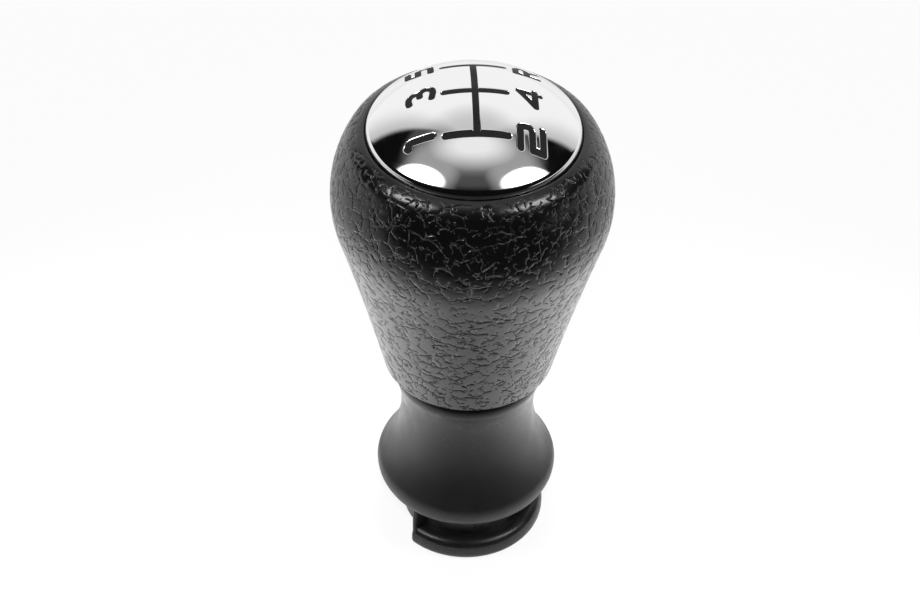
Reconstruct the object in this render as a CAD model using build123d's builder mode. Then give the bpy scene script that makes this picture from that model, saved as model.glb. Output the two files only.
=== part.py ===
from build123d import *
import os
from math import acos, atan2, cos, pi, radians, sin, sqrt, tan

# Push-on gear shift knob for a manual gearbox. A plated cap with the shift gate cut in it clips into a
# rigid core. A soft grained grip is moulded over the core, a smooth waisted collar with a groove for the
# gaiter's ring slides over the core's tube, and a flanged bush holds the collar and grips the lever.
# Z is the knob's axis, its foot stands at Z 0, and +Y points to the front of the car.

# Plated cap
knob_height = 100.8
cap_dome_radius = 25.7
cap_wall = 1.8
cap_skirt = 1.6
cap_round = 2.0
cap_gap = 0.1

# Shift gate cut in the cap: three gates along Y, joined by the neutral line along X
gate_pitch = 9.3
gate_length = 11.4
gate_width = 1.1
gate_depth = 0.4

# Hooks that clip the cap into the core
hook_count = 4
hook_width = 6.0
hook_thickness = 1.3
hook_reach = 5.2
hook_nose = 0.9
hook_catch = 2.4
hook_play = 0.3

# Soft grip
grip_d = 48.8
border_width = 6.2
belly_drop = 21.7
shoulder_radius = 22.5
flank_lean = 16.0
grip_foot_d = 31.0
grip_foot_z = 41.2
grip_foot_round = 0.8
crest_drop = 9.0
crest_radius = 5.0
border_drop = 0.55
border_round = 0.4
border_flat = 0.1

# Rigid core
core_wall = 1.9
core_foot_d = 26.6
core_floor = 2.0
core_ring_height = 6.4
tube_wall = 1.8
tube_end_wall = 2.0
rib_count = 6
rib_thickness = 1.6

# Waisted collar with the gaiter groove
collar_top_z = 40.8
collar_top_d = 29.4
collar_top_round = 0.5
waist_d = 24.6
waist_z = 29.8
bulb_d = 33.8
bulb_z = 14.4
bulb_radius = 3.4
bulb_under_radius = 4.2
bulb_under_angle = 60.0
hub_d = 23.8
hub_foot_z = 2.8
lip_reach = 3.05
lip_inset = 0.9
lip_height = 4.8
lip_round = 2.0
lip_gap_angle = 84.0
stop_angle = 6.5

# Bush for the lever
lever_d = 12.0
bush_wall = 1.8
bush_length = 41.0
bush_flange_wall = 1.2
bush_flange = 1.6
bush_lead_in = 0.8
key_count = 2
key_width = 2.4
key_height = 0.7

# Clearances, each on the radius
bush_fit = 0.05
slide_fit = 0.1

# Places that follow from the sizes above
cap_d = grip_d - 2 * border_width
belly_z = knob_height - belly_drop
crest_z = knob_height - crest_drop
lip_d = hub_d + 2 * lip_reach
lip_inner_d = hub_d - 2 * lip_inset
bush_flange_d = hub_d - 2 * bush_flange_wall
dome_centre_z = knob_height - cap_dome_radius
cap_r = cap_d / 2
cap_rim_z = dome_centre_z + sqrt(cap_dome_radius**2 - cap_r**2)
core_rim_z = cap_rim_z - cap_skirt
core_rim_r = cap_r + cap_gap
core_bore_r = core_rim_r - core_wall
core_floor_z = collar_top_z + core_floor
hook_outer_r = core_bore_r - hook_play
hook_inner_r = hook_outer_r - hook_thickness
hook_tip_z = core_rim_z - hook_reach
hook_catch_z = hook_tip_z + hook_catch
bush_r = lever_d / 2 + bush_wall
tube_bore_r = bush_r + bush_fit
tube_r = tube_bore_r + tube_wall
collar_bore_r = tube_r + slide_fit
bush_shelf_z = hub_foot_z + bush_flange
bush_top_z = hub_foot_z + bush_length
tube_top_z = bush_top_z + tube_end_wall

os.makedirs("parts", exist_ok=True)

# Tool for the shift gate: the plan of the gate, kept only in the skin of the dome
with BuildPart() as gate_cut:
    with BuildSketch(Plane.XY.offset(cap_rim_z)):
        with GridLocations(gate_pitch, 0, 3, 1):
            SlotOverall(gate_length, gate_width, rotation=90)
        SlotOverall(2 * gate_pitch + gate_width, gate_width)
    extrude(amount=knob_height - cap_rim_z + gate_depth)
    with Locations((0, 0, dome_centre_z)):
        Sphere(cap_dome_radius - gate_depth, mode=Mode.SUBTRACT)

# One clip hook of the cap, with its nose pointing outwards along X
with BuildPart() as hook:
    hook_root_z = dome_centre_z + sqrt((cap_dome_radius - cap_wall) ** 2 - hook_inner_r**2) + cap_wall / 4
    with BuildSketch(Plane.XZ):
        with BuildLine():
            Polyline(
                (hook_inner_r, hook_tip_z),
                (hook_outer_r, hook_tip_z),
                (hook_outer_r + hook_play + hook_nose, hook_catch_z - hook_nose / 2),
                (hook_outer_r + hook_play + hook_nose, hook_catch_z),
                (hook_outer_r, hook_catch_z),
                (hook_outer_r, hook_root_z),
                (hook_inner_r, hook_root_z),
                close=True,
            )
        make_face()
    extrude(amount=hook_width / 2, both=True)

# Plated cap: a domed shell with a short skirt that stands on the core's rim
with BuildPart() as cap:
    with BuildSketch(Plane.XZ) as cap_section:
        with BuildLine():
            inner_r = cap_dome_radius - cap_wall
            skirt_r = cap_r - core_wall + cap_gap
            inner_rim_z = dome_centre_z + sqrt(inner_r**2 - skirt_r**2)
            dome = RadiusArc((0, knob_height), (cap_r, cap_rim_z), cap_dome_radius)
            Polyline(dome @ 1, (cap_r, core_rim_z), (skirt_r, core_rim_z), (skirt_r, inner_rim_z))
            under = RadiusArc((skirt_r, inner_rim_z), (0, knob_height - cap_wall), -inner_r)
            Line(under @ 1, dome @ 0)
        make_face()
        fillet(cap_section.vertices().sort_by_distance(dome @ 1)[0], cap_round)
    revolve(axis=Axis.Z)
    add(gate_cut.part, mode=Mode.SUBTRACT)
    with PolarLocations(0, hook_count, start_angle=180 / hook_count):
        add(hook.part)
cap.part.label = "cap"
export_step(cap.part, "parts/cap.step")

# Rigid core: a tapered cup with a floor, a ring for the cap's hooks and a closed tube for the bush
with BuildPart() as core:
    ring_z = core_rim_z - core_ring_height
    core_foot_r = core_foot_d / 2
    with BuildSketch(Plane.XZ):
        with BuildLine():
            Polyline(
                (tube_bore_r, bush_shelf_z),
                (tube_r, bush_shelf_z),
                (tube_r, collar_top_z),
                (core_foot_r, collar_top_z),
                (core_foot_r, core_floor_z),
                (core_rim_r, ring_z),
                (core_rim_r, core_rim_z),
                (core_bore_r, core_rim_z),
                (core_bore_r, ring_z),
                (core_foot_r - core_wall, core_floor_z),
                (tube_r, core_floor_z),
                (tube_r, tube_top_z),
                (0, tube_top_z),
                (0, bush_top_z),
                (tube_bore_r, bush_top_z),
                close=True,
            )
        make_face()
    revolve(axis=Axis.Z)
    with BuildSketch(Plane.XY.offset(core_floor_z)):
        rib_span = core_foot_r - core_wall / 2 - tube_r + tube_wall / 2
        with PolarLocations(tube_r - tube_wall / 2 + rib_span / 2, rib_count):
            Rectangle(rib_span, rib_thickness)
    extrude(amount=tube_top_z - core_floor_z)
    with BuildSketch(Plane.XY.offset(bush_shelf_z)):
        with PolarLocations(bush_r, key_count):
            Rectangle(2 * (key_height + bush_fit), key_width + 2 * bush_fit)
    extrude(amount=bush_top_z - bush_shelf_z, mode=Mode.SUBTRACT)
    window_depth = 2 * (core_wall + hook_thickness)
    with PolarLocations(core_rim_r, hook_count, start_angle=180 / hook_count):
        with Locations((0, 0, (hook_tip_z + hook_catch_z) / 2)):
            Box(window_depth, hook_width + 2 * hook_play, hook_catch + slide_fit, mode=Mode.SUBTRACT)
core.part.label = "core"
export_step(core.part, "parts/core.step")

# Soft grip: a belly that draws in to the foot along a slightly hollow flank, moulded over the core
with BuildPart() as grip:
    shoulder_r = grip_d / 2 - shoulder_radius
    crest_r = shoulder_r + sqrt(shoulder_radius**2 - (crest_z - belly_z) ** 2)
    flank_top = (
        shoulder_r + shoulder_radius * cos(radians(flank_lean)),
        belly_z - shoulder_radius * sin(radians(flank_lean)),
    )
    flank_way = (-sin(radians(flank_lean)), -cos(radians(flank_lean)))
    border_z = cap_rim_z - border_drop
    border_fall = atan2(border_z - crest_z, crest_r - core_rim_r)
    border_run = sqrt((crest_r - core_rim_r) ** 2 + (crest_z - border_z) ** 2)
    border_left = border_run - border_round * tan((pi / 2 + border_fall) / 2) - border_flat
    crest_turn = acos((crest_z - belly_z) / shoulder_radius) - border_fall
    crest_reach = shoulder_radius * sin(crest_turn)
    crest_taken = min(border_left, crest_reach)
    crest_limit = crest_taken * (2 * crest_reach - crest_taken) / (2 * shoulder_radius * (1 - cos(crest_turn)))
    with BuildSketch(Plane.XZ) as grip_section:
        with BuildLine():
            flank = TangentArc(flank_top, (grip_foot_d / 2, grip_foot_z), tangent=flank_way)
            Polyline(
                flank @ 1,
                (core_foot_r, grip_foot_z),
                (core_foot_r, core_floor_z),
                (core_rim_r, ring_z),
                (core_rim_r, border_z),
                (crest_r, crest_z),
            )
            belly = (grip_d / 2, belly_z)
            ThreePointArc((crest_r, crest_z), belly, flank_top)
        make_face()
        for corner, corner_round in (
            ((crest_r, crest_z), min(crest_radius, crest_limit)),
            ((core_rim_r, border_z), border_round),
            ((grip_foot_d / 2, grip_foot_z), grip_foot_round),
        ):
            fillet(grip_section.vertices().sort_by_distance(corner)[0], corner_round)
    revolve(axis=Axis.Z)
grip.part.label = "grip"
export_step(grip.part, "parts/grip.step")

# Waisted collar: a flared neck runs down into a bulb, over a hub with a C-shaped lip below the groove
with BuildPart() as collar:
    hub_r = hub_d / 2
    waist_inset = (bulb_d - waist_d) / 2
    waist_rise = waist_z - bulb_z
    arc_span = (waist_inset**2 + waist_rise**2) / (2 * waist_inset)
    bulb_top = (
        bulb_d / 2 - bulb_radius + bulb_radius * (arc_span - waist_inset) / arc_span,
        bulb_z + bulb_radius * waist_rise / arc_span,
    )
    under_lean = radians(bulb_under_angle)
    under_r = bulb_d / 2 - bulb_under_radius * (1 - cos(under_lean))
    under_z = bulb_z - bulb_under_radius * sin(under_lean)
    groove_top_z = under_z - (under_r - hub_r) * cos(under_lean) / sin(under_lean)
    with BuildSketch(Plane.XZ) as collar_section:
        with BuildLine():
            Polyline(
                (collar_bore_r, collar_top_z),
                (collar_bore_r, bush_shelf_z),
                (bush_flange_d / 2 + slide_fit, bush_shelf_z),
                (bush_flange_d / 2 + slide_fit, hub_foot_z),
                (hub_r, hub_foot_z),
                (hub_r, groove_top_z),
                (under_r, under_z),
            )
            bulb_under = TangentArc((bulb_d / 2, bulb_z), (under_r, under_z), tangent=(0, -1))
            TangentArc(bulb_under @ 0, bulb_top, tangent=(0, 1))
            neck = TangentArc((waist_d / 2, waist_z), bulb_top, tangent=(0, -1))
            flare = TangentArc(neck @ 0, (collar_top_d / 2, collar_top_z), tangent=(0, 1))
            Line(flare @ 1, (collar_bore_r, collar_top_z))
        make_face()
        flare_edge = collar_section.vertices().sort_by_distance((collar_top_d / 2, collar_top_z))[0]
        fillet(flare_edge, collar_top_round)
    revolve(axis=Axis.Z)
    lip_start = 90 + lip_gap_angle / 2
    lip_arc = 360 - lip_gap_angle
    with BuildSketch(Plane.XZ.rotated((0, 0, lip_start))) as lip_section:
        with BuildLine():
            Polyline(
                (lip_inner_d / 2, 0),
                (lip_d / 2, 0),
                (lip_d / 2, lip_height),
                (hub_r, lip_height),
                (lip_inner_d / 2, hub_foot_z),
                close=True,
            )
        make_face()
        lip_edges = lip_section.vertices().group_by(Axis.X)[-1]
        fillet(lip_edges, lip_round)
    revolve(axis=Axis.Z, revolution_arc=lip_arc)
    for stop_start in (lip_start, lip_start + lip_arc - stop_angle):
        with BuildSketch(Plane.XZ.rotated((0, 0, stop_start))):
            with BuildLine():
                Polyline(
                    (hub_r - slide_fit, lip_height / 2),
                    (lip_d / 2, lip_height / 2),
                    (lip_d / 2, bulb_z - bulb_under_radius / 2),
                    (hub_r - slide_fit, bulb_z - bulb_under_radius / 2),
                    close=True,
                )
            make_face()
        revolve(axis=Axis.Z, revolution_arc=stop_angle)
collar.part.label = "collar"
export_step(collar.part, "parts/collar.step")

# Lever bush: a flanged sleeve with two keys that stop it turning in the core's tube
with BuildPart() as bush:
    with BuildSketch(Plane.XY.offset(hub_foot_z)):
        Circle(bush_r)
        with PolarLocations(bush_r, key_count):
            Rectangle(2 * key_height, key_width)
    extrude(amount=bush_length)
    with BuildSketch(Plane.XY.offset(hub_foot_z)):
        Circle(bush_flange_d / 2)
    extrude(amount=bush_flange)
    with Locations((0, 0, hub_foot_z)):
        Hole(lever_d / 2)
    foot_edges = bush.edges().filter_by(GeomType.CIRCLE).group_by(Axis.Z)[0]
    chamfer(foot_edges.sort_by(SortBy.RADIUS)[0], bush_lead_in)
bush.part.label = "bush"
export_step(bush.part, "parts/bush.step")
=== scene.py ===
from math import acos, asin, atan2, ceil, cos, degrees, pi, radians, sin, sqrt

import bmesh
import bpy
import numpy as np
from mathutils import Matrix, Vector
from mathutils.geometry import delaunay_2d_cdt


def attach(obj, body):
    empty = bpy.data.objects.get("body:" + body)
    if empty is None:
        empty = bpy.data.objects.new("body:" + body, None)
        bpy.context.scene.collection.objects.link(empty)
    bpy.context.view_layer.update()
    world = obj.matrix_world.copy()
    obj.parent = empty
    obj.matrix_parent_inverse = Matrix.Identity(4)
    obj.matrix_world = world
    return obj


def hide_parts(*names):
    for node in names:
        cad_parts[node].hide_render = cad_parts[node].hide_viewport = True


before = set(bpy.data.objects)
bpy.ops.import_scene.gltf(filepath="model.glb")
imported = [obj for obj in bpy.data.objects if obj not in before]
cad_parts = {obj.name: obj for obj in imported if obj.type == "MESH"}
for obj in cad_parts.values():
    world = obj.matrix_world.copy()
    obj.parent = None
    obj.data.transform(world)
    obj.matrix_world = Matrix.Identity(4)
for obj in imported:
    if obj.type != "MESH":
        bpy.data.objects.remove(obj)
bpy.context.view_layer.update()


# Core: the rigid carrier inside the knob, injection moulded in black plastic. The grip is moulded over it,
# the cap clips into its top, and only a thin ring of it shows in the shadow between the grip and the collar.
core_black = (0.010, 0.010, 0.011)
shade_patch = 0.006
gloss_patch = 0.004
shade_low = 0.8
shade_high = 1.25


def add_node(tree, kind, inputs=(), **settings):
    """Adds a node with its settings. inputs pairs each socket with a value or the socket that feeds it."""
    made = tree.nodes.new(kind)
    for name, value in settings.items():
        setattr(made, name, value)
    for socket, source in inputs:
        if isinstance(source, bpy.types.NodeSocket):
            tree.links.new(source, made.inputs[socket])
        else:
            made.inputs[socket].default_value = source
    return made


def between(tree, source, low, high, at_low, at_high):
    """Eases from one value at low to another at high."""
    ease = add_node(tree, "ShaderNodeMapRange", [(0, source), (1, low), (2, high), (3, at_low), (4, at_high)])
    ease.interpolation_type = "SMOOTHSTEP"
    return ease.outputs[0]


def cloudy(tree, place, size, detail=2.0):
    """Soft uneven patches of about that size, from 0 to 1."""
    inputs = [("Vector", place), ("Scale", 1 / size), ("Detail", detail)]
    return add_node(tree, "ShaderNodeTexNoise", inputs).outputs[0]


def start_finish(name):
    """A new material, with its shader and the object's own coordinates."""
    finish = bpy.data.materials.new(name)
    finish.use_nodes = True
    shader = finish.node_tree.nodes["Principled BSDF"]
    place = add_node(finish.node_tree, "ShaderNodeTexCoord").outputs["Object"]
    return finish, finish.node_tree, shader, place


def moulded_plastic(name, colour, rough_low, rough_high, texture, height):
    """Moulded plastic: a fine eroded texture of that size and height, and a gloss that differs in patches."""
    finish, tree, shader, place = start_finish(name)
    shade = add_node(tree, "ShaderNodeValToRGB", [("Fac", cloudy(tree, place, shade_patch))])
    shade.color_ramp.elements[0].color = (*[shade_low * c for c in colour], 1)
    shade.color_ramp.elements[1].color = (*[shade_high * c for c in colour], 1)
    tree.links.new(shade.outputs[0], shader.inputs["Base Color"])
    rough = between(tree, cloudy(tree, place, gloss_patch, 4.0), 0.3, 0.7, rough_high, rough_low)
    tree.links.new(rough, shader.inputs["Roughness"])
    relief = [("Height", cloudy(tree, place, texture, 3.0)), ("Distance", height)]
    tree.links.new(add_node(tree, "ShaderNodeBump", relief).outputs[0], shader.inputs["Normal"])
    return finish


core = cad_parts["core"]
core.data.materials.clear()
core.data.materials.append(moulded_plastic("core_plastic", core_black, 0.40, 0.55, 0.0003, 0.00001))


# Grip: a soft black skin, moulded over the core in a thermoplastic rubber. A leather-like grain is etched in
# its mould, and a plain border is left round the cap and a plain edge at the foot.
grip_black = (0.0025, 0.0025, 0.0026)
grip_worn = (0.0040, 0.0040, 0.0041)
border_bore_r = 0.0183
border_z = 0.092695
border_round = 0.0004
crest_r = 0.020473
crest_z = 0.0918
crest_round = 0.0050
shoulder_r = 0.0019
shoulder_z = 0.0791
shoulder_round = 0.0225
flank_lean = 16.0
foot_r = 0.0155
foot_z = 0.0412
foot_round = 0.0008
core_foot_r = 0.0133
core_floor_z = 0.0428
core_ring_z = 0.085245
grip_steps = 460
worn_patch = 0.009
grain_cell = 0.0024
grain_sway = 0.0020
grain_breaks = (0.0019, 0.44, 0.51)
fine_cell = 0.0014
fine_sway = 0.0012
fine_breaks = (0.0013, 0.55, 0.62)
fine_width = 0.8
drift_cells = 1.1
drift_detail = 1.3
sharp_share = 0.65
soft_width = 2.4
skin_valley = 0.00030
skin_depth = 0.00005
crease_valley = 0.00010
crease_depth = 0.00014
etched_from = 0.40
etched_full = 0.58
pore_size = 0.00022
pore_depth = 0.000014
satin_patch = 0.0030
satin_dull = 0.23
satin_bright = 0.19
plain_duller = 0.08
crease_brighter = 0.08
plain_specular = 0.36
etched_specular = 0.5


def across(angle):
    """The direction in the section plane that stands at that angle above the horizontal, in degrees."""
    return Vector((cos(radians(angle)), 0, sin(radians(angle))))


def follow_arc(section, tip, radius, start, end, steps):
    """Carries a section on from its tip round an arc whose outward normal goes from start to end, in degrees.
    A hollow arc has a negative radius."""
    centre = tip.co - radius * across(start)
    made = bmesh.ops.spin(
        section, geom=[tip], cent=centre, axis=(0, 1, 0), angle=radians(start - end), steps=steps
    )
    return made["geom_last"][0]


def follow_line(section, tip, r, z, steps=1):
    """Carries a section on from its tip in a straight line to that radius and height."""
    stride = (Vector((r, 0, z)) - tip.co) / steps
    made = bmesh.ops.spin(section, geom=[tip], axis=(0, 0, 1), dvec=stride, angle=0, steps=steps)
    return made["geom_last"][0]


def turn_section(section, steps):
    """Turns a closed section a quarter round the knob's axis, and mirrors the quarter to the whole round."""
    around = section.verts[:] + section.edges[:]
    bmesh.ops.spin(section, geom=around, axis=(0, 0, 1), angle=pi / 2, steps=steps // 4)
    for axis in "XY":
        turned = section.verts[:] + section.edges[:] + section.faces[:]
        bmesh.ops.mirror(section, geom=turned, axis=axis, merge_dist=1e-7)
    bmesh.ops.recalc_face_normals(section, faces=section.faces)


def put_in_scene(name, mesh):
    """Makes an object at the origin of a finished bmesh."""
    data = bpy.data.meshes.new(name)
    mesh.to_mesh(data)
    mesh.free()
    data.shade_smooth()
    piece = bpy.data.objects.new(name, data)
    bpy.context.scene.collection.objects.link(piece)
    return piece


border_fall = degrees(atan2(border_z - crest_z, crest_r - border_bore_r))
border_normal = 90 - border_fall
border_tangent = border_round / sin(radians(border_normal)) * (1 + cos(radians(border_normal)))
border_height = across(border_normal).dot(Vector((border_bore_r - shoulder_r, 0, border_z - shoulder_z)))
shoulder_centre = Vector((shoulder_r, 0, shoulder_z))
crest_reach = shoulder_round - crest_round
crest_end = border_normal - degrees(acos((border_height - crest_round) / crest_reach))
crest_centre = shoulder_centre + crest_reach * across(crest_end)
crest_start = crest_centre + crest_round * across(border_normal)
flank_top = shoulder_centre + shoulder_round * across(-flank_lean)
flank_chord = Vector((foot_r, 0, foot_z)) - flank_top
flank_round = flank_chord.length_squared / (2 * flank_chord.dot(across(-flank_lean)))
foot_lean = flank_lean - 2 * degrees(asin(flank_chord.length / (2 * flank_round)))
foot_tangent = degrees(foot_round * (1 - sin(radians(foot_lean))) / cos(radians(foot_lean)) / flank_round)

section = bmesh.new()
border_edge = section.verts.new((border_bore_r, 0, border_z - border_tangent))
tip = follow_arc(section, border_edge, border_round, 180, border_normal, 6)
tip = follow_line(section, tip, crest_start.x, crest_start.z, 5)
tip = follow_arc(section, tip, crest_round, border_normal, crest_end, 9)
tip = follow_arc(section, tip, shoulder_round, crest_end, -flank_lean, 68)
tip = follow_arc(section, tip, -flank_round, -flank_lean, -foot_lean - foot_tangent, 112)
tip = follow_arc(section, tip, foot_round, -foot_lean, -90, 6)
tip = follow_line(section, tip, core_foot_r, foot_z)
tip = follow_line(section, tip, core_foot_r, core_floor_z)
tip = follow_line(section, tip, border_bore_r, core_ring_z, 3)
section.edges.new((tip, border_edge))
turn_section(section, grip_steps)
grip = put_in_scene("grip_skin", section)


def maths(tree, operation, *values):
    """The result of a Math node."""
    return add_node(tree, "ShaderNodeMath", enumerate(values), operation=operation).outputs[0]


def vectors(tree, operation, *values):
    """The result of a Vector Math node: a number for a product or a distance, and a vector otherwise."""
    made = add_node(tree, "ShaderNodeVectorMath", enumerate(values), operation=operation)
    return made.outputs["Value" if operation in ("DOT_PRODUCT", "DISTANCE") else "Vector"]


def scaled(tree, vector, scale):
    """A vector times a number."""
    inputs = [(0, vector), ("Scale", scale)]
    return add_node(tree, "ShaderNodeVectorMath", inputs, operation="SCALE").outputs[0]


def creases(tree, place, cell, sway, valley, break_size, break_end, break_start):
    """Curved creases between cells of that size, broken in patches: 1 along the middle and 0 beside it."""
    noise = [("Vector", place), ("Scale", 1 / (drift_cells * cell)), ("Detail", drift_detail)]
    drift = add_node(tree, "ShaderNodeTexNoise", noise).outputs[1]
    drift = vectors(tree, "SUBTRACT", drift, (0.5, 0.5, 0.5))
    swayed = vectors(tree, "MULTIPLY_ADD", drift, [sway] * 3, place)
    cells = add_node(tree, "ShaderNodeTexVoronoi", [("Vector", swayed), ("Scale", 1 / cell)])
    cells.feature = "DISTANCE_TO_EDGE"
    away_from_edge = cells.outputs["Distance"]
    sharp = between(tree, away_from_edge, 0, valley / cell, sharp_share, 0)
    soft = between(tree, away_from_edge, 0, soft_width * valley / cell, 1 - sharp_share, 0)
    broken = between(tree, cloudy(tree, place, break_size, 1.0), break_end, break_start, 0, 1)
    return maths(tree, "MULTIPLY", maths(tree, "ADD", sharp, soft), broken)


def grain(tree, place, valley):
    """The etched grain: long creases round the pebbles, and short finer ones among them."""
    long = creases(tree, place, grain_cell, grain_sway, valley, *grain_breaks)
    short = creases(tree, place, fine_cell, fine_sway, fine_width * valley, *fine_breaks)
    return maths(tree, "MAXIMUM", long, short)


etching = bpy.data.node_groups.new("grip_etching", "GeometryNodeTree")
etching.interface.new_socket("Skin", in_out="INPUT", socket_type="NodeSocketGeometry")
etching.interface.new_socket("Skin", in_out="OUTPUT", socket_type="NodeSocketGeometry")
plain_skin = etching.nodes.new("NodeGroupInput").outputs[0]
place = add_node(etching, "GeometryNodeInputPosition").outputs[0]
normal = add_node(etching, "GeometryNodeInputNormal").outputs[0]
outward = vectors(etching, "NORMALIZE", vectors(etching, "MULTIPLY", place, (1, 1, 0)))
facing = vectors(etching, "DOT_PRODUCT", outward, normal)
etched = between(etching, facing, etched_from, etched_full, 0, 1)
mark = [("Geometry", plain_skin), ("Name", "etched"), ("Value", etched)]
marked = add_node(etching, "GeometryNodeStoreNamedAttribute", mark).outputs[0]
sunk = maths(etching, "MULTIPLY", grain(etching, place, skin_valley), etched)
inward = scaled(etching, scaled(etching, normal, -skin_depth), sunk)
pressed = add_node(etching, "GeometryNodeSetPosition", [("Geometry", marked), ("Offset", inward)])
etching.links.new(pressed.outputs[0], etching.nodes.new("NodeGroupOutput").inputs[0])

grip.modifiers.new("etching", "NODES").node_group = etching
worked_out = bpy.context.evaluated_depsgraph_get()
grip_mesh = bpy.data.meshes.new_from_object(
    grip.evaluated_get(worked_out), preserve_all_data_layers=True, depsgraph=worked_out
)
grip.modifiers.clear()
grip.data = grip_mesh

grip_finish, tree, shader, place = start_finish("grained_grip")
etched = add_node(tree, "ShaderNodeAttribute", attribute_name="etched").outputs["Fac"]
crease = maths(tree, "MULTIPLY", grain(tree, place, crease_valley), etched)
shade = add_node(tree, "ShaderNodeValToRGB", [("Fac", cloudy(tree, place, worn_patch))])
shade.color_ramp.elements[0].color = (*grip_black, 1)
shade.color_ramp.elements[1].color = (*grip_worn, 1)
tree.links.new(shade.outputs[0], shader.inputs["Base Color"])
satin = between(tree, cloudy(tree, place, satin_patch, 3.0), 0.3, 0.7, satin_dull, satin_bright)
rough = maths(tree, "ADD", satin, between(tree, etched, 0, 1, plain_duller, 0))
rough = maths(tree, "MULTIPLY_ADD", crease, -crease_brighter, rough)
tree.links.new(rough, shader.inputs["Roughness"])
pores = [("Height", cloudy(tree, place, pore_size, 2.0)), ("Distance", pore_depth)]
pores = add_node(tree, "ShaderNodeBump", pores).outputs[0]
creased = [("Height", crease), ("Distance", crease_depth), ("Normal", pores)]
creased = add_node(tree, "ShaderNodeBump", creased, invert=True).outputs[0]
tree.links.new(creased, shader.inputs["Normal"])
specular = between(tree, etched, 0, 1, plain_specular, etched_specular)
tree.links.new(specular, shader.inputs["Specular IOR Level"])
shader.inputs["IOR"].default_value = 1.6
grip.data.materials.append(grip_finish)
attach(grip, "root")
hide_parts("grip")


# Cap: a thin domed cap, moulded in plastic and plated bright. The shift gate and its digits are sunk in the
# dome and filled with black paint, and four hooks under it clip into the core.
chrome = (0.88, 0.88, 0.89)
clear_rough = 0.05
hazy_rough = 0.09
ripple_size = 0.005
ripple_depth = 0.000012
paint_black = (0.006, 0.006, 0.006)
paint_specular = 0.2
cap_r = 0.0182
dome_round = 0.0257
dome_z = 0.0751
rim_round = 0.0020
skirt_z = 0.091645
skirt_inner_r = 0.0164
under_round = 0.0239
under_rings = (0.014, 0.012, 0.010, 0.008, 0.006, 0.004, 0.002)
gate_pitch = 9.3
gate_half = 5.15
bow_step = 18
stroke = 0.00055
shoulder = 0.00020
edge_round = 0.00025
hook_in_r = 0.0148
hook_out_r = 0.0161
hook_nose_r = 0.0173
hook_tip_z = 0.086445
hook_catch_z = 0.088845
hook_nose_z = 0.088395
hook_root_z = 0.094316
hook_width = 0.006
cap_sharp = 32.0


def bow(x, y, radius, start, end):
    """Points along an arc in the cap's plan, in millimetres and degrees."""
    parts = max(2, ceil(abs(end - start) / bow_step))
    turns = [radians(start + (end - start) * i / parts) for i in range(parts + 1)]
    return [(x + radius * cos(t), y + radius * sin(t)) for t in turns]


# Each digit stands beyond the end of its gate, with its top towards the front of the car.
one = [(-8.8, 7.2), (-8.8, 10.6), *bow(-9.5, 10.6, 0.7, 0, 90), (-9.8, 11.0)]
two = [(-10.8, -7.1), *bow(-7.7, -7.9, 0.8, 90, 0), *bow(-7.7, -8.3, 0.8, 0, -90)]
two += [(-10.8, -9.1), (-10.8, -10.9), (-6.9, -10.9)]
three = [(-0.9, 10.8), (-0.2, 10.95), *bow(0.2, 9.8, 1.15, 75, -35), (0.4, 9.1)]
three += [*bow(0.85, 8.05, 1.15, 70, -90), (-0.6, 7.15)]
four = [(1.3, -10.8), (1.3, -7.3), (-2.0, -10.0), (1.9, -10.0)]
five = [(11.2, 10.9), (8.2, 10.9), (8.2, 9.2), (11.2, 9.2), (11.2, 7.1), (8.2, 7.1)]
reverse = [(7.8, -11.0), (7.8, -7.2), *bow(9.8, -8.15, 0.95, 90, -90), (7.8, -9.1)]
reverse_leg = [(9.3, -9.1), (10.7, -11.0)]
gates = [[(gate_pitch * i, -gate_half), (gate_pitch * i, gate_half)] for i in (-1, 0, 1)]
neutral = [(-gate_pitch, 0), (gate_pitch, 0)]
strokes = [one, two, three, four, five, reverse, reverse_leg, neutral, *gates]
runs = [(*a, *b) for line in strokes for a, b in zip(line, line[1:])]
runs = np.array([run for run in runs if run[:2] != run[2:]]) / 1000


def clearance(points):
    """How far each point of the plan lies outside the painted strokes. It is negative inside."""
    away = np.full(len(points), np.inf)
    for ax, ay, bx, by in runs:
        start, along = np.array((ax, ay)), np.array((bx - ax, by - ay))
        t = np.clip((points - start) @ along / (along @ along), 0, 1)
        away = np.minimum(away, np.hypot(*(points - start - t[:, None] * along).T))
    return away - stroke


def dome_height(points, deepest):
    """The height of the plated skin over each point of the plan, rounded down into the sunk strokes."""
    reach = np.clip(shoulder - clearance(points), 0, deepest)
    sunk = edge_round - np.sqrt(edge_round**2 - reach**2)
    return dome_z + np.sqrt(dome_round**2 - (points**2).sum(1)) - sunk


def slopes(points, deepest):
    """The direction that the skin faces at each point of the plan."""
    nudge = 2e-6
    rise = [
        dome_height(points + step, deepest) - dome_height(points - step, deepest)
        for step in nudge * np.eye(2)
    ]
    facing = np.stack((-rise[0], -rise[1], np.full(len(points), 2 * nudge)), 1)
    return facing / np.linalg.norm(facing, axis=1)[:, None]


# The plan of the dome is divided along the rim, round every stroke at each level of its shoulder, and into
# even rings elsewhere.
rim_reach = dome_round - rim_round
rim_lean = degrees(acos((cap_r - rim_round) / rim_reach))
rim_r = dome_round * cos(radians(rim_lean))
rim_points = 288
end_steps = 10
side_gap = 0.0007
ring_gap = 0.00055
ring_clear = 0.0002
plan_weld = 1e-6
paint_edge = 1e-7
facing_depth = 1.05
rim_steps = 14
levels = (shoulder, 0.75 * shoulder, 0.5 * shoulder, 0.25 * shoulder, 0)
plan = []
borders = []


def add_loop(points):
    """Adds a closed line to the plan."""
    first = len(plan)
    plan.extend(points)
    borders.extend((first + i, first + (i + 1) % len(points)) for i in range(len(points)))


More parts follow.
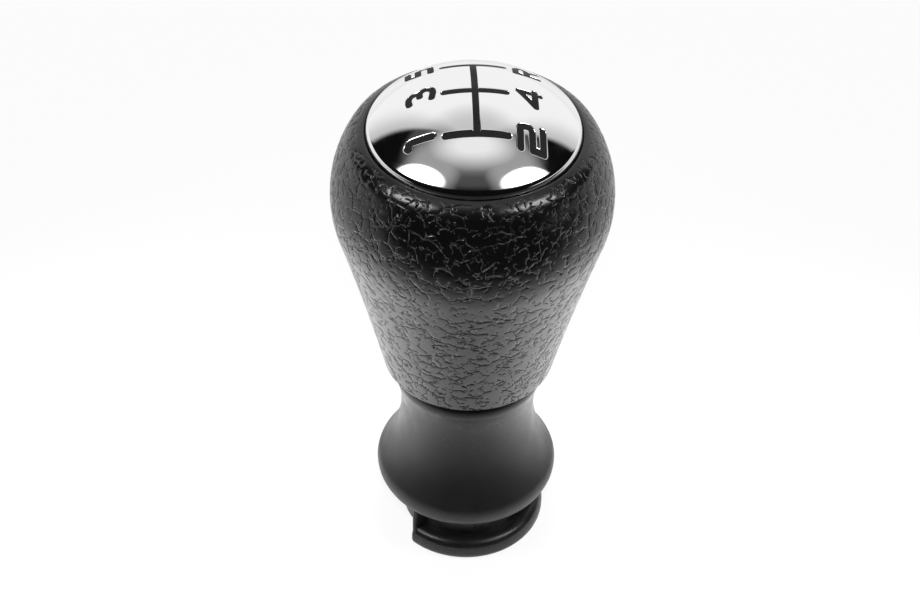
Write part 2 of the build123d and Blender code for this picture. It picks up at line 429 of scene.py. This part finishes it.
rim_turns = [2 * pi * i / rim_points for i in range(rim_points)]
add_loop([(rim_r * cos(t), rim_r * sin(t)) for t in rim_turns])
for ax, ay, bx, by in runs:
    heading = atan2(by - ay, bx - ax)
    length = sqrt((bx - ax) ** 2 + (by - ay) ** 2)
    for level in levels:
        half = stroke + level
        outline = []
        for ex, ey, turn in ((bx, by, heading - pi / 2), (ax, ay, heading + pi / 2)):
            end_turns = [turn + pi * i / end_steps for i in range(end_steps + 1)]
            outline += [(ex + half * cos(t), ey + half * sin(t)) for t in end_turns]
            pieces = max(1, ceil(length / side_gap))
            side = Vector(outline[-1])
            step = Vector((cos(turn - pi / 2), sin(turn - pi / 2))) * length / pieces
            outline += [tuple(side + i * step) for i in range(1, pieces)]
        add_loop(outline)
for ring in range(1, int(rim_r / ring_gap)):
    count = 6 * ring
    around = np.arange(count) * 2 * pi / count
    spots = ring * ring_gap * np.stack((np.cos(around), np.sin(around)), 1)
    plan.extend(map(tuple, spots[clearance(spots) > shoulder + ring_clear]))

flat_points, _, triangles, _, _, _ = delaunay_2d_cdt([Vector(p) for p in plan], borders, [], 0, plan_weld)
flat_points = np.array([tuple(p) for p in flat_points])
heights = dome_height(flat_points, shoulder)
plated_facing = slopes(flat_points, facing_depth * shoulder)
painted = clearance(flat_points) < paint_edge
bare = flat_points / dome_round
bare = np.column_stack((bare, np.sqrt(1 - (bare**2).sum(1))))

shell = bmesh.new()
skin = [shell.verts.new((x, y, z)) for (x, y), z in zip(flat_points, heights)]
for corners in triangles:
    face = shell.faces.new([skin[i] for i in corners])
    face.material_index = int(all(painted[i] for i in corners))
top_count = len(shell.faces)


def next_ring(mesh, ring, r, z):
    """Carries a round edge on to a new radius and height, and returns the new edge."""
    start = ring[0].verts[0].co
    made = bmesh.ops.extrude_edge_only(mesh, edges=ring)["geom"]
    points = [v for v in made if isinstance(v, bmesh.types.BMVert)]
    widen = r / start.xy.length
    bmesh.ops.scale(mesh, vec=(widen, widen, 1), verts=points)
    bmesh.ops.translate(mesh, vec=(0, 0, z - points[0].co.z), verts=points)
    return [e for e in made if isinstance(e, bmesh.types.BMEdge) and all(v in points for v in e.verts)]


ring = [e for e in shell.edges if e.is_boundary]
rim_z = dome_z + rim_reach * sin(radians(rim_lean))
for step in range(1, rim_steps + 1):
    lean = radians(rim_lean * (1 - step / rim_steps))
    ring = next_ring(shell, ring, cap_r - rim_round * (1 - cos(lean)), rim_z + rim_round * sin(lean))
ring = next_ring(shell, ring, cap_r, skirt_z)
ring = next_ring(shell, ring, skirt_inner_r, skirt_z)
for r in (skirt_inner_r, *under_rings):
    ring = next_ring(shell, ring, r, dome_z + sqrt(under_round**2 - r**2))
pole = bmesh.ops.extrude_edge_only(shell, edges=ring)["geom"]
pole = [v for v in pole if isinstance(v, bmesh.types.BMVert)]
bmesh.ops.pointmerge(shell, verts=pole, merge_co=(0, 0, dome_z + under_round))
bmesh.ops.recalc_face_normals(shell, faces=shell.faces)

for quarter in range(4):
    side = [
        (hook_in_r, hook_tip_z),
        (hook_out_r, hook_tip_z),
        (hook_nose_r, hook_nose_z),
        (hook_nose_r, hook_catch_z),
        (hook_out_r, hook_catch_z),
        (hook_out_r, hook_root_z),
        (hook_in_r, hook_root_z),
    ]
    face = shell.faces.new([shell.verts.new((r, -hook_width / 2, z)) for r, z in side])
    made = bmesh.ops.extrude_face_region(shell, geom=[face], use_keep_orig=True)["geom"]
    far = [v for v in made if isinstance(v, bmesh.types.BMVert)]
    bmesh.ops.translate(shell, vec=(0, hook_width, 0), verts=far)
    hook_faces = {f for v in [*face.verts, *far] for f in v.link_faces}
    bmesh.ops.recalc_face_normals(shell, faces=list(hook_faces))
    turn = Matrix.Rotation(radians(45 + 90 * quarter), 3, "Z")
    bmesh.ops.rotate(shell, matrix=turn, verts=[*face.verts, *far])
for edge in shell.edges:
    edge.smooth = not (edge.is_manifold and edge.calc_face_angle() > radians(cap_sharp))
cap = put_in_scene("plated_dome", shell)
corner_normals = np.array([n.vector[:] for n in cap.data.corner_normals])
for face in cap.data.polygons[:top_count]:
    for corner in face.loop_indices:
        facing = bare if face.material_index else plated_facing
        corner_normals[corner] = facing[cap.data.loops[corner].vertex_index]
cap.data.normals_split_custom_set(corner_normals.tolist())

plating, tree, shader, place = start_finish("plated_cap")
shader.inputs["Base Color"].default_value = (*chrome, 1)
shader.inputs["Metallic"].default_value = 1
haze = between(tree, cloudy(tree, place, gloss_patch, 4.0), 0.45, 0.75, clear_rough, hazy_rough)
tree.links.new(haze, shader.inputs["Roughness"])
ripple = [("Height", cloudy(tree, place, ripple_size, 1.0)), ("Distance", ripple_depth)]
tree.links.new(add_node(tree, "ShaderNodeBump", ripple).outputs[0], shader.inputs["Normal"])
cap.data.materials.append(plating)
paint = moulded_plastic("gate_paint", paint_black, 0.50, 0.65, 0.0002, 0.00002)
paint.node_tree.nodes["Principled BSDF"].inputs["Specular IOR Level"].default_value = paint_specular
cap.data.materials.append(paint)
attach(cap, "root")
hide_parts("cap")


# Collar: a smooth black sleeve below the grip, moulded in plastic. It slides up over the core's tube, its
# groove takes the ring of the gaiter, and the lip under the groove is cut away at the front of the car.
collar_black = (0.007, 0.007, 0.007)
waist_r = 0.0123
waist_z = 0.0298
collar_top_r = 0.0136
collar_top_z = 0.0408
collar_top_round = 0.0030
bulb_r = 0.0169
bulb_z = 0.0144
bulb_round = 0.0034
under_bulb_round = 0.0042
under_bulb_lean = 60.0
hub_r = 0.0119
hub_foot_z = 0.0028
lip_r = 0.01495
lip_inner_r = 0.0110
lip_top_z = 0.0048
lip_round = 0.0020
collar_bore_r = 0.00975
flange_r = 0.0108
flange_top_z = 0.0044
lip_start = 132.0
lip_end = 408.0
stop_angle = 6.5
stop_wall_r = 0.01475
end_round = 4.0
collar_steps = 480
collar_sharp = 50.0
hair = 1e-6
collar_specular = 0.40
bulb_duller = 0.15

neck_round = ((bulb_r - waist_r) ** 2 + (waist_z - bulb_z) ** 2) / (2 * (bulb_r - waist_r)) - bulb_round
neck_lean = degrees(asin((waist_z - bulb_z) / (neck_round + bulb_round)))
edge_r = collar_top_r - collar_top_round
edge_z = collar_top_z - collar_top_round
flare_rise = edge_z - waist_z
flare_run = collar_top_r - waist_r
flare_round = ((edge_r - waist_r) ** 2 + flare_rise**2 - collar_top_round**2) / (2 * flare_run)
flare_lean = degrees(asin(flare_rise / (flare_round + collar_top_round)))

section = bmesh.new()
waist = section.verts.new((waist_r, 0, waist_z))
tip = follow_arc(section, waist, -neck_round, 0, neck_lean, 30)
tip = follow_arc(section, tip, bulb_round, neck_lean, 0, 12)
tip = follow_arc(section, tip, under_bulb_round, 0, -under_bulb_lean, 14)
groove_top_z = tip.co.z - (tip.co.x - hub_r) / sin(radians(under_bulb_lean)) * cos(radians(under_bulb_lean))
tip = follow_line(section, tip, hub_r, groove_top_z, 8)
tip = follow_line(section, tip, hub_r, lip_top_z, 8)
tip = follow_line(section, tip, lip_r - lip_round, lip_top_z, 6)
tip = follow_arc(section, tip, lip_round, 90, 0, 8)
tip = follow_line(section, tip, lip_r, lip_round, 4)
tip = follow_arc(section, tip, lip_round, 0, -90, 8)
tip = follow_line(section, tip, lip_inner_r, 0, 6)
tip = follow_line(section, tip, lip_inner_r, hub_foot_z)
tip = follow_line(section, tip, flange_r, hub_foot_z)
tip = follow_line(section, tip, flange_r, flange_top_z)
tip = follow_line(section, tip, collar_bore_r, flange_top_z)
tip = follow_line(section, tip, collar_bore_r, collar_top_z)
tip = follow_line(section, tip, edge_r, collar_top_z, 2)
tip = follow_arc(section, tip, collar_top_round, 90, -flare_lean, 20)
tip = follow_arc(section, tip, -flare_round, -flare_lean, 0, 22)
bmesh.ops.pointmerge(section, verts=[waist, tip], merge_co=waist.co)
turn_section(section, collar_steps)


def eased(value, start, end):
    """0 before start, 1 after end, and a smooth rise between them."""
    t = min(1, max(0, (value - start) / (end - start)))
    return t * t * (3 - 2 * t)


# The lip is drawn back to the hub where it is cut away, and the groove is closed by a stop at both its ends.
for vert in section.verts:
    r = vert.co.xy.length
    inner_wall = r < hub_r - hair and vert.co.z > hub_foot_z + hair
    if vert.co.z > bulb_z or r < lip_inner_r - hair or inner_wall:
        continue
    around = degrees(atan2(vert.co.y, vert.co.x)) % 360
    if around < (lip_start + lip_end - 360) / 2:
        around += 360
    inside = min(around - lip_start, lip_end - around)
    lip = sqrt(1 - (1 - min(1, max(0, inside / end_round))) ** 2)
    stop = lip - eased(inside, stop_angle - end_round / 2, stop_angle + end_round / 2)
    new_r = r
    if vert.co.z < lip_top_z + hair and r > hub_r:
        new_r = hub_r + (r - hub_r) * lip
    if vert.co.z < hub_foot_z:
        vert.co.z += (hub_foot_z - vert.co.z) * (1 - lip)
    if vert.co.z > lip_top_z - lip_round - hair and r < stop_wall_r:
        new_r = max(new_r, hub_r + (stop_wall_r - hub_r) * stop)
    vert.co.xy *= new_r / r
bmesh.ops.recalc_face_normals(section, faces=section.faces)
for edge in section.edges:
    edge.smooth = edge.calc_face_angle(0) < radians(collar_sharp)
collar = put_in_scene("collar_sleeve", section)
collar_finish = moulded_plastic("collar_plastic", collar_black, 0.25, 0.33, 0.0004, 0.000006)
tree = collar_finish.node_tree
shader = tree.nodes["Principled BSDF"]
shader.inputs["IOR"].default_value = 1.5
shader.inputs["Specular IOR Level"].default_value = collar_specular
place = add_node(tree, "ShaderNodeTexCoord").outputs["Object"]
height = add_node(tree, "ShaderNodeSeparateXYZ", [(0, place)]).outputs["Z"]
dull_above = between(tree, height, bulb_z - under_bulb_round, bulb_z, 0, 1)
dull_below = between(tree, height, bulb_z, waist_z, bulb_duller, 0)
rough = shader.inputs["Roughness"].links[0].from_socket
rough = maths(tree, "MULTIPLY_ADD", dull_above, dull_below, rough)
tree.links.new(rough, shader.inputs["Roughness"])
collar.data.materials.append(collar_finish)
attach(collar, "root")
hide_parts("collar")


# Bush: the flanged sleeve that grips the lever, moulded in a tough grey plastic. It is pressed into the
# core's tube from below, and its flange holds the collar up.
bush_grey = (0.045, 0.045, 0.047)
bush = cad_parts["bush"]
bush.data.materials.clear()
bush.data.materials.append(moulded_plastic("bush_plastic", bush_grey, 0.42, 0.58, 0.0004, 0.00001))


# Floor: a plain white table top that the knob stands on. In front of the knob its colour darkens towards the
# camera, a painted shade for the light falling off into the dark room. Far behind it the table runs up to the
# white backdrop, as the bright and the black pieces mirror it.
away = Vector((0.99863, -0.05234, 0))
table_half = 3.0
table_front = -0.02
table_fade = 0.185
front_painted_shade = 0.05
table_skew = 9.0
table_white = (0.95, 0.95, 0.95)
table_glow = 0.85
mirrored_glow = 0.04
far_start = -0.12
far_full = -0.40
far_glow = 0.85

plane = bmesh.new()
bmesh.ops.create_grid(plane, x_segments=1, y_segments=1, size=table_half)
table = put_in_scene("table_top", plane)
table_finish = bpy.data.materials.new("table_white")
table_finish.use_nodes = True
tree = table_finish.node_tree
tree.nodes.clear()
rays = add_node(tree, "ShaderNodeLightPath").outputs
place = add_node(tree, "ShaderNodeTexCoord").outputs["Object"]
nearer = Matrix.Rotation(radians(table_skew), 3, "Z") @ -away
depth = vectors(tree, "DOT_PRODUCT", place, nearer)
# Painted shade: for all rays but camera rays, the table's colour and glow darken from white towards the
# camera.
painted_falloff = between(tree, depth, table_front, table_front + table_fade, 1, front_painted_shade)
seen = maths(tree, "MAXIMUM", painted_falloff, rays["Is Camera Ray"])
far_white = between(tree, depth, far_full, far_start, far_glow, mirrored_glow)
mirrored = maths(tree, "MULTIPLY", rays["Is Glossy Ray"], far_white)
direct = maths(tree, "MAXIMUM", rays["Is Camera Ray"], rays["Is Transmission Ray"])
direct = maths(tree, "MULTIPLY", direct, table_glow)
share = maths(tree, "MAXIMUM", direct, mirrored)
white = add_node(tree, "ShaderNodeMix", [("Factor", seen)], data_type="RGBA")
white.inputs["A"].default_value = (0, 0, 0, 1)
white.inputs["B"].default_value = (*table_white, 1)
matt = add_node(tree, "ShaderNodeBsdfDiffuse", [("Color", white.outputs["Result"])])
glow = add_node(tree, "ShaderNodeEmission", [("Color", (1, 1, 1, 1)), ("Strength", seen)])
blend = add_node(tree, "ShaderNodeMixShader", [(0, share), (1, matt.outputs[0]), (2, glow.outputs[0])])
tree.links.new(blend.outputs[0], add_node(tree, "ShaderNodeOutputMaterial").inputs[0])
table.data.materials.append(table_finish)


# Light: a soft box on each side of the camera, three small lamps over the table, and the studio itself, which
# is white behind the knob and overhead, and dark behind the camera.
box_width = 0.54
box_height = 0.385
box_power = 4.9
box_reach = 0.451
box_bearing = 69.0
box_z = 0.544
box_turn = 31.0
box_halo = 0.36
box_fade = ((0.31, 1.0), (0.40, 0.16))
halo_rise = 0.11
halo_inset = 0.05
halo_edge = 28.0
halo_core = 9.0
panel_squeeze = -0.45
panel_white = 0.92
room_dark = 0.004
backdrop_turn = -2.0
ends_from = 62.0
ends_full = 56.0
ends_white = 0.6
middle_from = 58.0
middle_full = 36.0
middle_white = 0.4
dimmed_from = 48.0
dimmed_full = 74.0
dimmed_level = 0.62
lamp_size = 0.03
right = Vector((-0.05234, -0.99863, 0))

studio = bpy.data.worlds.new("studio")
bpy.context.scene.world = studio
studio.use_nodes = True
tree = studio.node_tree
tree.nodes.clear()
sky = add_node(tree, "ShaderNodeTexCoord").outputs["Generated"]


def towards(tree, way, axis):
    """How far a direction turns to an axis: 1 along it and 0 square to it."""
    return vectors(tree, "DOT_PRODUCT", way, axis)


def brightest(tree, one, other):
    """The brighter of two lights."""
    return maths(tree, "MAXIMUM", one, other)


# The ceiling's white panel is longer from side to side than from front to back. Its ramp gives the level at
# each angle from the zenith, in degrees.
panel = (
    *((6, panel_white), (10, 0.77), (14, 0.56), (18, 0.36), (22, 0.15)),
    *((26, 0.08), (32, 0.07), (35, 0.02), (37, room_dark)),
)
sideways = scaled(tree, right, towards(tree, sky, right))
squeezed = vectors(tree, "MULTIPLY_ADD", sideways, [panel_squeeze] * 3, sky)
squeezed = vectors(tree, "NORMALIZE", squeezed)
overhead = maths(tree, "ARCCOSINE", towards(tree, squeezed, (0, 0, 1)))
overhead = maths(tree, "MULTIPLY", overhead, 2 / pi)
ceiling = add_node(tree, "ShaderNodeValToRGB", [("Fac", overhead)])
ramp = ceiling.color_ramp.elements
ramp[0].color = (panel_white, panel_white, panel_white, 1)
ramp[1].color = (room_dark, room_dark, room_dark, 1)
for lean, grey in panel:
    ramp.new(lean / 90).color = (grey, grey, grey, 1)
room = ceiling.outputs[0]

# The backdrop stands round the far side, a little dimmer at its ends and towards the ceiling.
level = vectors(tree, "NORMALIZE", vectors(tree, "MULTIPLY", sky, (1, 1, 0)))
behind = towards(tree, level, Matrix.Rotation(radians(backdrop_turn), 3, "Z") @ away)
ends = between(tree, behind, cos(radians(ends_from)), cos(radians(ends_full)), 0, ends_white)
middle = between(tree, behind, cos(radians(middle_from)), cos(radians(middle_full)), 0, middle_white)
backdrop = maths(tree, "ADD", ends, middle)
height = towards(tree, sky, (0, 0, 1))
dimmed = between(tree, height, sin(radians(dimmed_from)), sin(radians(dimmed_full)), 1, dimmed_level)
room = brightest(tree, room, maths(tree, "MULTIPLY", backdrop, dimmed))

# A bright strip lies along the floor's far edge, all round but behind the camera.
skirting = between(tree, height, 0.02, 0.07, 1, 0)
beside = between(tree, behind, -0.6, -0.35, 0, 1)
room = brightest(tree, room, maths(tree, "MULTIPLY", skirting, beside))

# Each soft box fades to its edge, and lights the wall round it a little.
for name, side in (("soft_box_left", -1), ("soft_box_right", 1)):
    lamp = bpy.data.lights.new(name, "AREA")
    lamp.shape = "ELLIPSE"
    lamp.size = box_width
    lamp.size_y = box_height
    lamp.energy = box_power
    lamp.use_nodes = True
    cloth = lamp.node_tree
    spot = add_node(cloth, "ShaderNodeNewGeometry").outputs["Parametric"]
    from_middle = vectors(cloth, "DISTANCE", spot, (0.5, 0.5, 0))
    fade = add_node(cloth, "ShaderNodeValToRGB", [("Fac", from_middle)])
    fade.color_ramp.interpolation = "EASE"
    for edge, grey in box_fade:
        fade.color_ramp.elements.new(edge).color = (grey, grey, grey, 1)
    fade.color_ramp.elements[0].color = (1, 1, 1, 1)
    fade.color_ramp.elements[-1].position = 0.5
    fade.color_ramp.elements[-1].color = (0, 0, 0, 1)
    cloth.links.new(fade.outputs[0], cloth.nodes["Emission"].inputs["Color"])
    soft_box = bpy.data.objects.new(name, lamp)
    bearing = right * side * sin(radians(box_bearing)) - away * cos(radians(box_bearing))
    soft_box.location = bearing * box_reach + Vector((0, 0, box_z))
    faces = away * cos(radians(box_turn)) - right * side * sin(radians(box_turn))
    soft_box.rotation_euler = faces.to_track_quat("-Z", "Y").to_euler()
    bpy.context.scene.collection.objects.link(soft_box)
    halo_axis = soft_box.location + Vector((0, 0, halo_rise)) - right * side * halo_inset
    lit_wall = towards(tree, sky, halo_axis.normalized())
    halo = between(tree, lit_wall, cos(radians(halo_edge)), cos(radians(halo_core)), 0, box_halo)
    room = brightest(tree, room, halo)

# Three lamps light the table before and beside the knob, where the black pieces mirror it. Each has its place
# and its aim to the right, towards the camera and up, its cone in degrees and its power.
table_lamps = (
    ("table_lamp_left", (-0.070, 0.0, 0.60), (-0.070, 0.0, 0), 14.0, 14.8),
    ("table_lamp_right", (0.066, 0.0, 0.60), (0.066, 0.0, 0), 14.0, 14.8),
    ("table_lamp_front", (0.0, 0.35, 0.45), (0.0, 0.04, 0), 26.0, 7.2),
)
studio_axes = Matrix((right, -away, (0, 0, 1))).transposed()
for name, place, aim, cone, power in table_lamps:
    lamp = bpy.data.lights.new(name, "SPOT")
    lamp.energy = power
    lamp.spot_size = radians(cone)
    lamp.spot_blend = 1.0
    lamp.shadow_soft_size = lamp_size
    table_lamp = bpy.data.objects.new(name, lamp)
    table_lamp.location = studio_axes @ Vector(place)
    faces = studio_axes @ (Vector(aim) - Vector(place))
    table_lamp.rotation_euler = faces.to_track_quat("-Z", "Y").to_euler()
    table_lamp.visible_glossy = False
    bpy.context.scene.collection.objects.link(table_lamp)

rays = add_node(tree, "ShaderNodeLightPath").outputs
room = brightest(tree, room, brightest(tree, rays["Is Camera Ray"], rays["Is Transmission Ray"]))
backing = add_node(tree, "ShaderNodeBackground", [("Color", room)])
tree.links.new(backing.outputs[0], add_node(tree, "ShaderNodeOutputWorld").inputs[0])


# Camera: above the left side of the knob, with a long lens. It is turned a little about its own axis and
# shifted, as in the photograph.
camera_elevation = 42.877
camera_distance = 0.3906
camera_look = Vector((0, 0, 0.0496))
camera_roll = 1.418
eye = bpy.data.cameras.new("camera")
eye.lens = 84.7
eye.sensor_width = 36
eye.shift_x = -0.01018
eye.shift_y = 0.01261
eye.clip_start = 0.01
camera = bpy.data.objects.new("camera", eye)
back = -away * cos(radians(camera_elevation)) + Vector((0, 0, sin(radians(camera_elevation))))
camera.location = camera_look + back * camera_distance
turn = (-back).to_track_quat("-Z", "Y").to_matrix() @ Matrix.Rotation(radians(camera_roll), 3, "Z")
camera.rotation_euler = turn.to_euler()
bpy.context.scene.collection.objects.link(camera)
bpy.context.scene.camera = camera
bpy.context.scene.view_settings.view_transform = "Standard"
